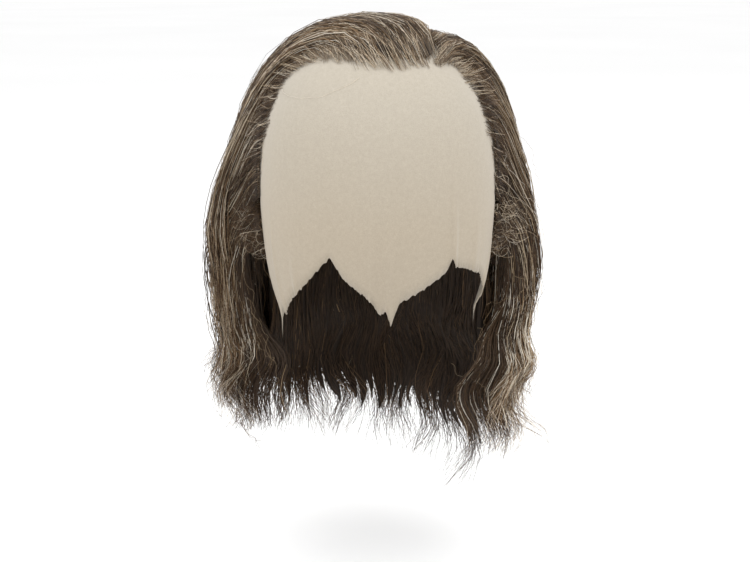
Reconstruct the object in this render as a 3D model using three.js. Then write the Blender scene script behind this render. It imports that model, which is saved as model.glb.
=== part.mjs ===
// Lace front wig: an uncut lace panel and a cap, fitted to a head, that carry hair combed away from a side part.
// Millimetres and degrees, +Z up. The face looks along -Y, so the wearer's right is at -X.
// The origin is where the crown of the head bears on the inside of the cap.
import * as THREE from "three";

// The head that the wig fits: a rounded box, measured from the level where it is widest
const HEAD = { halfWidth: 79, front: 92, back: 104, top: 95, bottom: 135, power: 2.4 };

// Cloth walls and the gap between neighbouring pieces
const CAP_WALL = 1.6;
const LACE_WALL = 1.2;
const GAP = 0.3;
const HAIR_LIFT = CAP_WALL + GAP;
const FACET_ROOM = 1.5;

// Seam between lace and cap: its polar angle at the middle, and how it drops towards the lace's side edges
const SEAM = { polar: 18, drop: 60, sharpness: 6 };
const SEAM_GAP = 0.2;
const LACE_SIDE = 88;
const LACE_COLUMN_STEP = 6;
const LACE_ROWS = 9;
const LACE_RIPPLE = { height: 1.1, count: 9 };
const LACE_FLARE = 3;

// Lower edge of the lace as it was cut, from one cheek tail to the other: height from the head's widest level
const LACE_CUT = [
  { azimuth: -88, height: -104 },
  { azimuth: -82, height: -108 },
  { azimuth: -72, height: -92 },
  { azimuth: -55, height: -86 },
  { azimuth: -39, height: -67 },
  { azimuth: -31, height: -57 },
  { azimuth: -19, height: -38 },
  { azimuth: -14, height: -51 },
  { azimuth: -3, height: -66 },
  { azimuth: 1, height: -77 },
  { azimuth: 3.5, height: -72 },
  { azimuth: 6, height: -84 },
  { azimuth: 9, height: -67 },
  { azimuth: 19.5, height: -59 },
  { azimuth: 28, height: -49 },
  { azimuth: 30, height: -39 },
  { azimuth: 33, height: -46 },
  { azimuth: 52, height: -55 },
  { azimuth: 66, height: -68 },
  { azimuth: 80, height: -98 },
  { azimuth: 88, height: -90 },
];

// Lower edge of the cap on either side, from the seam over the ear to the nape
const CAP_EDGE = [
  { azimuth: 100, polar: 82 },
  { azimuth: 115, polar: 85 },
  { azimuth: 130, polar: 98 },
  { azimuth: 150, polar: 112 },
  { azimuth: 180, polar: 116 },
];
const CAP_COLUMN_STEP = 10;
const CAP_ROWS = 6;

// Depth of the hair over its inner face, by height from the head's widest level
const OUTER_DEPTH = [
  { height: -240, depth: 25 },
  { height: -30, depth: 27 },
  { height: -10, depth: 24 },
  { height: 15, depth: 20 },
  { height: 45, depth: 17 },
  { height: 70, depth: 13 },
  { height: 95, depth: 10 },
];
const NAPE_DEPTH = [
  { height: -150, depth: 10 },
  { height: -60, depth: 8 },
  { height: 20, depth: 3 },
];
const ROOT_RUN = 13;
const TIP_RUN = 60;
const TIP_SHARE = 0.2;

// Stations of the inner face from root to tip: the first lie along the head at a lift above the skin,
// the rest hang at a height, spread out from the curtain's plan and swaying to the side
const OUTER_ON_HEAD = [
  { along: 0, lift: HAIR_LIFT },
  { along: 1 / 3, lift: HAIR_LIFT + 1 },
  { along: 2 / 3, lift: HAIR_LIFT + 4 },
  { along: 0.95, lift: HAIR_LIFT + 11 },
];
const OUTER_HANGING = [
  { height: -45, spread: 1.02, sway: 1.5 },
  { height: -110, spread: 1.03, sway: -2.5 },
];
const OUTER_TIP_SWAY = 3;
const OUTER_CURTAIN = { halfWidth: 91, back: 116 };
const NAPE_ON_HEAD = [
  { along: 0, lift: HAIR_LIFT },
  { along: 0.5, lift: HAIR_LIFT },
  { along: 1, lift: HAIR_LIFT + 0.5 },
];
const NAPE_HANGING = [
  { height: -75, spread: 1, sway: 1 },
  { height: -145, spread: 1.01, sway: -2 },
];
const NAPE_TIP_SWAY = 2.5;
const NAPE_CURTAIN = { halfWidth: 75, back: 101 };

// Guides along each root line, from the temple up the hairline and back along the part to the crown.
// Shoulder is the polar angle where the hair leaves the head, fall the azimuth where it hangs, hem the
// height of its tips and flare their spread, root its depth at the lace, and body scales its depth beyond.
const LEFT_GUIDES = [
  { azimuth: -72, polar: 93, shoulder: 103, fall: -93, hem: -166, flare: 1.2, root: 2, body: 1.14 },
  { azimuth: -67, polar: 66, shoulder: 96, fall: -99, hem: -174, flare: 1.2, root: 2.5, body: 1.2 },
  { azimuth: -71, polar: 48, shoulder: 91, fall: -108, hem: -184, flare: 1.18, root: 2.5, body: 1.2 },
  { azimuth: -54, polar: 34, shoulder: 88, fall: -119, hem: -194, flare: 1.14, root: 2.5, body: 1.16 },
  { azimuth: 0, polar: 39.5, shoulder: 86, fall: -134, hem: -202, flare: 1.12, root: 3, body: 1.1 },
  { azimuth: 35, polar: 37, shoulder: 85, fall: -150, hem: -208, flare: 1.1, root: 4, body: 1.06 },
  { azimuth: 82, polar: 19, shoulder: 84, fall: -163, hem: -212, flare: 1.08, root: 9, body: 1 },
  { azimuth: 150, polar: 22, shoulder: 84, fall: -179.6, hem: -215, flare: 1.08, root: 8, body: 0.96 },
];
const RIGHT_GUIDES = [
  { azimuth: 72, polar: 93, shoulder: 103, fall: 93, hem: -184, flare: 1.08, root: 2, body: 0.92 },
  { azimuth: 66, polar: 66, shoulder: 96, fall: 101, hem: -190, flare: 1.1, root: 2.5, body: 0.96 },
  { azimuth: 69, polar: 48, shoulder: 91, fall: 112, hem: -198, flare: 1.1, root: 2.5, body: 1.02 },
  { azimuth: 60, polar: 35, shoulder: 88, fall: 126, hem: -204, flare: 1.08, root: 3, body: 1.02 },
  { azimuth: 38, polar: 38, shoulder: 86, fall: 142, hem: -210, flare: 1.08, root: 4, body: 0.98 },
  { azimuth: 82, polar: 21.2, shoulder: 85, fall: 160, hem: -213, flare: 1.08, root: 5, body: 0.96 },
  { azimuth: 146, polar: 23.4, shoulder: 84, fall: 179.6, hem: -215, flare: 1.08, root: 6, body: 0.96 },
];
const HAIR_ROWS = 13;
const LOCK_COLUMNS = 4;
const LEFT_LOCKS = 15;
const RIGHT_LOCKS = 13;
const LOCK = { groove: 0.32, notch: 34, ragged: 14 };
const FRONT_EDGE = { run: 0.09, depth: 0.4 };

// The nape layer hangs from the lower back of the cap, inside the outer hair
const NAPE = { side: 106, inset: 9, shoulder: 97, locks: 11, rows: 9, hem: -222, dip: -16 };

// Curly tufts in front of the ears
const TUFT = { front: 71, rear: 88, top: 99, foot: 124, swell: 20, edge: 1.2, droop: 11, curls: 5, curlDepth: 0.2 };
const TUFT_COLUMNS = 20;
const TUFT_ROWS = 5;

const { degToRad, radToDeg, lerp, smoothstep } = THREE.MathUtils;

// Unit direction from the head's centre, at a polar angle from the crown and an azimuth from the face
function direction(polar, azimuth) {
  const p = degToRad(polar);
  const a = degToRad(azimuth);
  return new THREE.Vector3(Math.sin(p) * Math.sin(a), -Math.sin(p) * Math.cos(a), Math.cos(p));
}

// Distance from the head's centre to its skin along a unit direction
function skinRadius(d) {
  const depth = d.y < 0 ? HEAD.front : HEAD.back;
  const height = d.z > 0 ? HEAD.top : HEAD.bottom;
  const shares = [d.x / HEAD.halfWidth, d.y / depth, d.z / height];
  return shares.reduce((sum, s) => sum + Math.abs(s) ** HEAD.power, 0) ** (-1 / HEAD.power);
}

function onHead(d, lift) {
  return d.clone().multiplyScalar(skinRadius(d) + lift);
}

// The point itself, or the one above it where it lies closer to the skin than a lift
function clearOfHead(p, lift) {
  const d = p.clone().normalize();
  return p.length() < skinRadius(d) + lift ? onHead(d, lift) : p;
}

// Polar angle of the skin at an azimuth and a height below the widest level
function polarAtHeight(azimuth, height) {
  const level = direction(90, azimuth);
  const shrink = (1 - Math.abs(height / HEAD.bottom) ** HEAD.power) ** (1 / HEAD.power);
  return radToDeg(Math.atan2(skinRadius(level) * shrink, height));
}

// Value of one column of a table whose rows are evenly spaced over w from 0 to 1
function evenRow(rows, column, w) {
  const place = w * (rows.length - 1);
  const i = Math.min(Math.floor(place), rows.length - 2);
  return lerp(rows[i][column], rows[i + 1][column], place - i);
}

// Value of one column of a table whose rows are in ascending order of another column
function rowAt(rows, key, place, column) {
  const next = rows.findIndex((r) => r[key] >= place);
  if (next <= 0) return rows[next === 0 ? 0 : rows.length - 1][column];
  const [a, b] = [rows[next - 1], rows[next]];
  return lerp(a[column], b[column], (place - a[key]) / (b[key] - a[key]));
}

// Closed wall between two grids of points, outer[column][row] and inner[column][row].
// A ring's last column joins its first, and a ring with a crown starts each column at one shared point.
function wall(outer, inner, { ring = false, crown = false } = {}) {
  const columns = outer.length;
  const rows = outer[0].length;
  const points = [];
  const faces = [];
  const keep = (grid) => grid.map((column) => column.map((p) => points.push(p) - 1));
  const out = keep(outer);
  const inn = keep(inner);
  if (crown) {
    for (const grid of [out, inn]) grid.forEach((column) => (column[0] = grid[0][0]));
  }
  const quad = (a, b, c, d) => {
    if (a !== b) faces.push(a, c, b);
    if (c !== d) faces.push(a, d, c);
  };
  const last = ring ? columns : columns - 1;
  for (let i = 0; i < last; i++) {
    const n = (i + 1) % columns;
    for (let j = 0; j + 1 < rows; j++) {
      quad(out[i][j], out[n][j], out[n][j + 1], out[i][j + 1]);
      quad(inn[n][j], inn[i][j], inn[i][j + 1], inn[n][j + 1]);
    }
    quad(out[i][rows - 1], out[n][rows - 1], inn[n][rows - 1], inn[i][rows - 1]);
    if (!crown) quad(inn[i][0], inn[n][0], out[n][0], out[i][0]);
  }
  if (!ring) {
    for (let j = 0; j + 1 < rows; j++) {
      quad(inn[0][j], out[0][j], out[0][j + 1], inn[0][j + 1]);
      quad(out[columns - 1][j], inn[columns - 1][j], inn[columns - 1][j + 1], out[columns - 1][j + 1]);
    }
  }
  const geometry = new THREE.BufferGeometry().setFromPoints(points);
  geometry.setIndex(faces);
  geometry.computeVertexNormals();
  return geometry;
}

// Grid of points from a function of column and row shares
function grid(columns, rows, at) {
  return columns.map((c) => Array.from({ length: rows + 1 }, (_, j) => at(c, j / rows)));
}

function seamPolar(azimuth) {
  return SEAM.polar + SEAM.drop * Math.abs(azimuth / LACE_SIDE) ** SEAM.sharpness;
}

// Azimuths of the lace's columns: every corner of its cut edge, and even steps between
const laceColumns = LACE_CUT.flatMap((row, i) => {
  if (i === 0) return [row.azimuth];
  const from = LACE_CUT[i - 1].azimuth;
  const steps = Math.ceil((row.azimuth - from) / LACE_COLUMN_STEP);
  return Array.from({ length: steps }, (_, k) => lerp(from, row.azimuth, (k + 1) / steps));
});

// Lace panel: it lies on the head, ripples towards its cut edge and stands off at the cheek tails
function laceFront() {
  const at = (lift) => (azimuth, t) => {
    const cut = polarAtHeight(azimuth, rowAt(LACE_CUT, "azimuth", azimuth, "height"));
    const ripple = LACE_RIPPLE.height * Math.sin(degToRad(azimuth * LACE_RIPPLE.count)) ** 2;
    const flare = LACE_FLARE * smoothstep(Math.abs(azimuth), LACE_SIDE - 20, LACE_SIDE);
    const d = direction(lerp(seamPolar(azimuth), cut, t), azimuth);
    return onHead(d, lift + (ripple + flare) * t ** 8);
  };
  return wall(grid(laceColumns, LACE_ROWS, at(LACE_WALL)), grid(laceColumns, LACE_ROWS, at(0)));
}

// Cap: from the crown to the lace seam in front and to its free edge over the ears and the nape
function cap() {
  const backColumns = [];
  for (let a = LACE_SIDE + CAP_COLUMN_STEP; a < 360 - LACE_SIDE; a += CAP_COLUMN_STEP) backColumns.push(a);
  const edge = (azimuth) => {
    const side = azimuth > 180 ? 360 - azimuth : Math.abs(azimuth);
    if (side <= LACE_SIDE) return seamPolar(side) - SEAM_GAP;
    const rows = [{ azimuth: LACE_SIDE, polar: seamPolar(LACE_SIDE) - SEAM_GAP }, ...CAP_EDGE];
    return rowAt(rows, "azimuth", side, "polar");
  };
  const columns = [...laceColumns, ...backColumns];
  const at = (lift) => (azimuth, t) => onHead(direction(edge(azimuth) * t, azimuth), lift);
  const shape = { ring: true, crown: true };
  return wall(grid(columns, CAP_ROWS, at(CAP_WALL)), grid(columns, CAP_ROWS, at(0)), shape);
}

// Hair stands away from the head's centre on the crown, and level from its axis where it hangs
function outward(p) {
  return new THREE.Vector3(p.x, p.y, Math.max(p.z, 0)).normalize();
}

// Swell across a lock, from 0 in the groove on either side to 1 along its ridge
function lockSwell(across) {
  return Math.sin(Math.PI * across);
}

// Uneven share for a lock, the same each time, from -1 to 1
function unevenness(lock) {
  const golden = (1 + Math.sqrt(5)) / 2;
  return 2 * ((lock * golden) % 1) - 1;
}

// One column of hair: inner points along its path from root to tip, and outer points a depth above them
function hairColumn(section, w) {
  const { guides, locks, rows } = section;
  const guide = (column) => evenRow(guides, column, w);
  const lock = Math.min(Math.floor(w * locks), locks - 1);
  const swell = lockSwell(w * locks - lock);
  const hem = guide("hem") + LOCK.notch * (1 - swell) + LOCK.ragged * unevenness(lock);

  const root = section.rootLine.getPoint(w).normalize();
  const turn = new THREE.Quaternion().setFromUnitVectors(root, direction(guide("shoulder"), guide("fall")));
  const path = section.onHead.map(({ along, lift }) => {
    const part = new THREE.Quaternion().slerp(turn, along);
    return onHead(root.clone().applyQuaternion(part), lift);
  });
  const hang = ({ height, spread, sway }) => {
    const a = degToRad(guide("fall") + sway * Math.cos(section.waves * Math.PI * w));
    const x = Math.sin(a) * section.curtain.halfWidth * spread;
    const y = -Math.cos(a) * section.curtain.back * spread;
    return new THREE.Vector3(x, y, height);
  };
  path.push(...section.hanging.map(hang), hang({ height: hem, spread: guide("flare"), sway: section.tipSway }));

  const line = new THREE.CatmullRomCurve3(path, false, "catmullrom", 0.5);
  const points = Array.from({ length: rows + 1 }, (_, j) => line.getPoint(j / rows));
  const inner = points.map((p, j) => clearOfHead(p, HAIR_LIFT + FACET_ROOM * Math.min(0.65 + j, 1)));
  const run = inner.map(() => 0);
  for (let j = 1; j <= rows; j++) run[j] = run[j - 1] + inner[j].distanceTo(inner[j - 1]);
  const outer = inner.map((p, j) => {
    const full = rowAt(section.depth, "height", p.z, "depth") * guide("body") * section.edge(w);
    const risen = lerp(full, guide("root"), Math.exp(-run[j] / ROOT_RUN));
    const taper = lerp(TIP_SHARE, 1, smoothstep(run[rows] - run[j], 0, TIP_RUN));
    const groove = LOCK.groove * (1 - swell) * (0.35 + j / rows);
    return p.clone().addScaledVector(outward(p), risen * taper * (1 - groove));
  });
  return { inner, outer };
}

// Hair section: a wall of locks side by side, grooved between them, each drawn to a tip at the hem
function hairSection(section) {
  const roots = section.guides.map((g) => direction(g.polar, g.azimuth));
  section.rootLine = new THREE.CatmullRomCurve3(roots, false, "catmullrom", 0.5);
  const count = section.locks * LOCK_COLUMNS;
  const columns = Array.from({ length: count + 1 }, (_, i) => hairColumn(section, i / count));
  if (section.towardsLeft) columns.reverse();
  return wall(columns.map((c) => c.outer), columns.map((c) => c.inner));
}

// Outer hair on one side of the part, rounded along its front edge at the temple
function outerHair(guides, locks, towardsLeft) {
  const bend = (w) => Math.sin((Math.PI / 2) * Math.min(w / FRONT_EDGE.run, 1));
  return hairSection({
    guides,
    locks,
    towardsLeft,
    edge: (w) => lerp(FRONT_EDGE.depth, 1, bend(w)),
    depth: OUTER_DEPTH,
    onHead: OUTER_ON_HEAD,
    hanging: OUTER_HANGING,
    tipSway: OUTER_TIP_SWAY,
    curtain: OUTER_CURTAIN,
    rows: HAIR_ROWS,
    waves: 5,
  });
}

// Under layer at the nape, lowest in the middle
function napeHair() {
  const count = 12;
  const guides = Array.from({ length: count + 1 }, (_, i) => {
    const fall = lerp(NAPE.side, 360 - NAPE.side, i / count);
    const side = fall > 180 ? 360 - fall : fall;
    const polar = rowAt(CAP_EDGE, "azimuth", side, "polar") - NAPE.inset;
    const hem = NAPE.hem + NAPE.dip * Math.sin((Math.PI * i) / count);
    return { azimuth: fall, polar, shoulder: NAPE.shoulder, fall, hem, flare: 0.99, root: 2, body: 1 };
  });
  return hairSection({
    guides,
    locks: NAPE.locks,
    towardsLeft: false,
    edge: () => 1,
    depth: NAPE_DEPTH,
    onHead: NAPE_ON_HEAD,
    hanging: NAPE_HANGING,
    tipSway: NAPE_TIP_SWAY,
    curtain: NAPE_CURTAIN,
    rows: NAPE.rows,
    waves: 7,
  });
}

// Sideburn: a bushy tuft on the lace, swelling outwards in curls and drooping, on the side given by sign
function sideburn(sign) {
  const turns = Array.from({ length: TUFT_COLUMNS }, (_, i) => (2 * Math.PI * i) / TUFT_COLUMNS);
  const at = (outer) => (turn, out) => {
    const across = 0.5 + 0.5 * sign * Math.cos(turn) * out;
    const down = 0.5 - 0.5 * Math.sin(turn) * out;
    const d = direction(lerp(TUFT.top, TUFT.foot, down), sign * lerp(TUFT.front, TUFT.rear, across));
    const base = onHead(d, HAIR_LIFT);
    if (!outer) return base;
    const swell = Math.sqrt(1 - out ** 2);
    const curl = Math.cos(TUFT.curls * turn) * Math.sin(Math.PI * out);
    const reach = TUFT.edge + TUFT.swell * swell * (1 + TUFT.curlDepth * curl);
    return base.addScaledVector(outward(d), reach).add(new THREE.Vector3(0, 0, -TUFT.droop * swell));
  };
  const shape = { ring: true, crown: true };
  return wall(grid(turns, TUFT_ROWS, at(true)), grid(turns, TUFT_ROWS, at(false)), shape);
}

// Finishes from the photograph: pale net, brown cap, and brown hair flecked with grey
const laceNet = new THREE.MeshStandardMaterial({ color: 0xcfc6b2, roughness: 0.85, metalness: 0 });
const capNet = new THREE.MeshStandardMaterial({ color: 0x3a2f26, roughness: 0.9, metalness: 0 });
const greyingHair = new THREE.MeshStandardMaterial({ color: 0x6a5a4a, roughness: 0.5, metalness: 0 });
const underHair = new THREE.MeshStandardMaterial({ color: 0x4b3c2f, roughness: 0.55, metalness: 0 });
const curlyHair = new THREE.MeshStandardMaterial({ color: 0x5c4f44, roughness: 0.6, metalness: 0 });

function piece(name, geometry, material) {
  const mesh = new THREE.Mesh(geometry, material);
  mesh.name = name;
  return mesh;
}

// The head's centre lies below the origin, which is on the inside of the cap at the crown
const wig = new THREE.Group();
const onCentre = new THREE.Group();
onCentre.position.z = -HEAD.top;
onCentre.add(
  piece("lace_front", laceFront(), laceNet),
  piece("cap", cap(), capNet),
  piece("hair_left", outerHair(LEFT_GUIDES, LEFT_LOCKS, true), greyingHair),
  piece("hair_right", outerHair(RIGHT_GUIDES, RIGHT_LOCKS, false), greyingHair),
  piece("hair_nape", napeHair(), underHair),
  piece("sideburn_left", sideburn(-1), curlyHair),
  piece("sideburn_right", sideburn(1), curlyHair),
);
wig.add(onCentre);

export default wig;
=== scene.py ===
import bpy
import numpy as np
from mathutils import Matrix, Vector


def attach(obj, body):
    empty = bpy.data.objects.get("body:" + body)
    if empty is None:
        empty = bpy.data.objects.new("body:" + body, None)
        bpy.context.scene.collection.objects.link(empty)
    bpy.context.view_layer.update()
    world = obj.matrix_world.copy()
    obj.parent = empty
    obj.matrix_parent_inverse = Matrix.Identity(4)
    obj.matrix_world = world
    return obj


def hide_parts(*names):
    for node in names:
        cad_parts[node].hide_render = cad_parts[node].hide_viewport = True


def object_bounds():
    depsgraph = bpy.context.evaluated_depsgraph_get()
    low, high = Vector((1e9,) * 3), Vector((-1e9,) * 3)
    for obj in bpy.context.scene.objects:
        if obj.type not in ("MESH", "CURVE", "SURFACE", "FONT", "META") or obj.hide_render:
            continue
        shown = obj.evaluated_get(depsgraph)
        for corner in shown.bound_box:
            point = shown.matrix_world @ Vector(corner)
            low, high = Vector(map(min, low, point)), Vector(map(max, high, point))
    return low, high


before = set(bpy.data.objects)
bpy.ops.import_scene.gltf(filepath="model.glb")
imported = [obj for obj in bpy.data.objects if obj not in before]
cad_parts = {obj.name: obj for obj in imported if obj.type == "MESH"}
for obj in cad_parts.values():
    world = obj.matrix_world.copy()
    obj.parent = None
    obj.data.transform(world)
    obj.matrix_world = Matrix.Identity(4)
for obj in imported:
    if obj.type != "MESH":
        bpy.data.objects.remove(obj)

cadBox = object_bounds()

# Shapes are worked out in millimetres about the centre of the hollow, and stored in metres about the crown.
hollow = {"halfWidth": 79, "front": 92, "back": 104, "top": 95, "bottom": 135, "power": 2.4}


def unit(v):  # each vector over its own length
    return v / np.maximum(np.linalg.norm(v, axis=-1, keepdims=True), 1e-9)


def ease(x, low, high):  # 3s^2 - 2s^3 of the share s of the way from low to high
    s = np.clip((x - low) / (high - low), 0, 1)
    return s * s * (3 - 2 * s)


def mix(a, b, share):  # straight line from a to b
    return a + (b - a) * share


def waver(x, seed):  # sum of four sines whose steps don't repeat, within about -1 and 1
    steps = np.array([1.0, 1.73, 2.91, 4.57])
    turns = seed * np.array([2.1, 5.3, 1.7, 3.9])
    return (np.sin(np.asarray(x)[..., None] * steps + turns) * [0.4, 0.3, 0.2, 0.15]).sum(-1)


def direction(polar, azimuth):  # unit vector, polar from the crown, azimuth from the front to +X, in degrees
    p, a = np.radians(polar), np.radians(azimuth)
    return np.stack(np.broadcast_arrays(np.sin(p) * np.sin(a), -np.sin(p) * np.cos(a), np.cos(p)), -1)


def hollowRadius(d):  # sum of |d / half size| ^ power over the three axes, ^ (-1 / power)
    x = np.full(d.shape[:-1], float(hollow["halfWidth"]))
    y = np.where(d[..., 1] < 0, hollow["front"], hollow["back"])
    z = np.where(d[..., 2] > 0, hollow["top"], hollow["bottom"])
    return (np.abs(d / np.stack([x, y, z], -1)) ** hollow["power"]).sum(-1) ** (-1 / hollow["power"])


def onHollow(d, lift):  # point along d at the hollow's radius and a lift
    return d * (hollowRadius(d) + lift)[..., None]


def clearOfHollow(p, lift):  # the point, or the one above it at the lift where it lies lower
    d = unit(p)
    return d * np.maximum(np.linalg.norm(p, axis=-1), hollowRadius(d) + lift)[..., None]


def outFrom(p):  # unit vector away from the upright axis low down, and from the centre above its height
    return unit(p * [1, 1, 0] + np.maximum(p * [0, 0, 1], 0))


def between(x, a, b, c, d):  # eased up from a to b and down again from c to d
    return ease(x, a, b) * ease(-x, -d, -c)


def polarAtHeight(azimuth, height):  # angle whose tangent is the hollow's level radius there over the height
    level = hollowRadius(direction(90, azimuth))
    shrink = (1 - np.abs(height / hollow["bottom"]) ** hollow["power"]) ** (1 / hollow["power"])
    return np.degrees(np.arctan2(level * shrink, height))


def spline(points, t):  # Catmull-Rom curve through points[row, k], at the shares t[row, j]
    k = points.shape[1]
    ends = [2 * points[:, :1] - points[:, 1:2], points, 2 * points[:, -1:] - points[:, -2:-1]]
    p = np.concatenate(ends, 1)
    i = np.minimum((t * (k - 1)).astype(int), k - 2)
    u = (t * (k - 1) - i)[..., None]
    row = np.arange(len(points))[:, None]
    a, b, c, d = (p[row, i + n] for n in range(4))
    return 0.5 * (2 * b + (c - a) * u + (2 * a - 5 * b + 4 * c - d) * u**2 + (3 * b - a - 3 * c + d) * u**3)


def addPiece(name, points, quads, triangles, uvs, material, slot, node=None):
    # points about the hollow's centre; quads and triangles index them; uvs has a row for each corner in turn
    mesh = bpy.data.meshes.new(name)
    corners = np.concatenate([quads.ravel(), triangles.ravel()]).astype(np.int32)
    fours, threes = len(quads), len(triangles)
    starts = np.concatenate([np.arange(fours) * 4, fours * 4 + np.arange(threes) * 3]).astype(np.int32)
    mesh.vertices.add(len(points))
    mesh.vertices.foreach_set("co", ((points - [0, 0, hollow["top"]]) * 0.001).astype(np.float32).ravel())
    mesh.loops.add(len(corners))
    mesh.loops.foreach_set("vertex_index", corners)
    mesh.polygons.add(len(starts))
    mesh.polygons.foreach_set("loop_start", starts)
    mesh.uv_layers.new(name="OFBake").data.foreach_set("uv", uvs.astype(np.float32).ravel())
    mesh.polygons.foreach_set("use_smooth", np.ones(len(starts), dtype=bool))
    mesh.update(calc_edges=True)
    mesh.validate()
    mesh.materials.append(material)
    piece = bpy.data.objects.new(name, mesh)
    bpy.context.scene.collection.objects.link(piece)
    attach(piece, "root")
    if node:
        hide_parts(node)
    return piece


def wall(outer, inner, dome=False):
    # closed wall between two grids of points [column, row]: both faces, then the rims that join them;
    # a dome's columns close in a ring and start from one point
    columns, rows = outer.shape[:2]
    points = np.concatenate([outer.reshape(-1, 3), inner.reshape(-1, 3)])
    more = columns * rows
    number = np.arange(more).reshape(columns, rows)
    u, v = np.meshgrid(np.linspace(0, 1, columns + dome)[:columns], np.linspace(0, 1, rows), indexing="ij")
    place = np.stack([u, v], -1).reshape(-1, 2)
    uv = np.concatenate([place, 0.02 + 0.96 * place])

    def sheet(a, b):  # a face for each step down two neighbouring columns
        return np.stack([a[:, :-1], a[:, 1:], b[:, 1:], b[:, :-1]], -1).reshape(-1, 4)

    def rim(a, b):  # faces from two lines of the outer grid to the same lines of the inner one
        return np.stack([a, a + more, b + more, b], -1)

    here, there = number[:-1], number[1:]
    if dome:
        number[:, 0] = number[0, 0]
        here, there = number, np.roll(number, -1, 0)
    faces = [sheet(here, there), sheet(there, here) + more, rim(here[:, -1], there[:, -1])]
    if not dome:
        first, last = number[0], number[-1]
        faces += [rim(there[:, 0], here[:, 0]), rim(first[:-1], first[1:]), rim(last[1:], last[:-1])]
    quads = np.concatenate(faces)
    uvs = uv[quads]
    pole = quads[:, 0] == quads[:, 3]  # faces at the dome's one point keep three corners
    corners = np.concatenate([uvs[~pole].reshape(-1, 2), uvs[pole, :3].reshape(-1, 2)])
    return points, quads[~pole], quads[pole, :3], corners


def tubes(centres, radii, tones, starts):
    # three points at the radius about each centre[strand, ring], carried along so that the tube
    # doesn't twist, and closed at both ends
    count, rings = centres.shape[:2]
    along = unit(np.gradient(centres, axis=1))
    normal = np.empty_like(centres)
    normal[:, 0] = unit(np.cross(along[:, 0], [0.31, 0.52, 0.79]))
    for j in range(1, rings):
        lean = (normal[:, j - 1] * along[:, j]).sum(-1, keepdims=True)
        normal[:, j] = unit(normal[:, j - 1] - lean * along[:, j])
    binormal = np.cross(along, normal)
    turn = np.radians([0, 120, 240])[:, None]
    spokes = np.cos(turn) * normal[:, :, None] + np.sin(turn) * binormal[:, :, None]
    points = (centres[:, :, None] + radii[:, :, None, None] * spokes).reshape(-1, 3)
    number = np.arange(count * rings * 3).reshape(count, rings, 3)
    near, far = number[:, :-1], number[:, 1:]
    quads = np.stack([near, np.roll(near, -1, 2), np.roll(far, -1, 2), far], -1).reshape(-1, 4)
    triangles = np.concatenate([number[:, 0, ::-1], number[:, -1]])

    # u is the strand's tone with a little width round the tube,
    # and v runs from the strand's start in the map to its tip
    width = 0.004
    u = np.clip(tones, 0.01, 0.97)[:, None, None] + width * np.arange(4)
    v = mix(starts[:, None], 0.99, np.linspace(0, 1, rings))[..., None]
    u, v = np.broadcast_arrays(u, v)
    uv = np.stack([u, v], -1)
    quadUv = np.stack([uv[:, :-1, :-1], uv[:, :-1, 1:], uv[:, 1:, 1:], uv[:, 1:, :-1]], -2).reshape(-1, 2)
    corner = np.array([[0, 0], [width, 0], [0, width]])
    capUv = np.concatenate([uv[:, 0, :1] + corner, uv[:, -1, :1] - corner]).reshape(-1, 2)
    return points, quads, triangles, np.concatenate([quadUv, capUv])


# Materials

def nodeMaterial(name, **sockets):  # a shader with its even values set, and makers for nodes and links
    material = bpy.data.materials.new(name)
    material.use_nodes = True
    tree = material.node_tree
    shader = tree.nodes["Principled BSDF"]
    for key, value in sockets.items():
        shader.inputs[key.replace("_", " ")].default_value = value

    def node(kind, source=None, **values):  # with its values, and with the source in its first socket
        made = tree.nodes.new(kind)
        for key, value in values.items():
            socket = key.replace("_", " ")
            if socket in made.inputs:
                made.inputs[socket].default_value = value
            else:
                setattr(made, key, value)
        if source is not None:
            tree.links.new(source, made.inputs[0])
        return made

    return material, shader, node, tree.links.new


def ramp(node, source, stops):  # colour ramp through (place, colour) rows, read at the source
    made = node("ShaderNodeValToRGB", source)
    elements = made.color_ramp.elements
    while len(elements) < len(stops):
        elements.new(0.5)
    for element, (place, colour) in zip(elements, stops):
        element.position = place
        element.color = (*colour, 1)
    return made.outputs["Color"]


def product(node, link, first, second):  # one colour times another
    made = node("ShaderNodeMix", data_type="RGBA", blend_type="MULTIPLY")
    made.inputs["Factor"].default_value = 1
    link(first, made.inputs["A"])
    link(second, made.inputs["B"])
    return made.outputs["Result"]


greying = {
    "roughness": (0.4, 0.56),
    "streaks": (90, 6, 1),
    "streakLevel": (0.72, 1.25),
    "tones": [
        (0.0, (0.022, 0.012, 0.006)),
        (0.3, (0.090, 0.053, 0.026)),
        (0.55, (0.205, 0.130, 0.068)),
        (0.68, (0.310, 0.212, 0.120)),
        (0.78, (0.430, 0.334, 0.224)),
        (0.9, (0.615, 0.532, 0.412)),
        (1.0, (0.800, 0.750, 0.665)),
    ],
    "rootToTip": [
        (0.0, (0.95, 0.93, 0.9)),
        (0.35, (1, 1, 1)),
        (0.75, (1, 0.96, 0.9)),
        (1.0, (1.1, 1.0, 0.88)),
    ],
    # how much of the pale colour the roots take, up to the plain start in the map: painted light on fine
    # roots that shade would darken, and the lace's colour seen between them
    "paleRoot": [(0.0, (0.58, 0.58, 0.58)), (0.05, (0.348, 0.348, 0.348)), (0.12, (0, 0, 0))],
    "paleColour": (0.4, 0.33, 0.25, 1),
    "paleStart": 0.01,
    "plainStart": 0.13,
}


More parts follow.
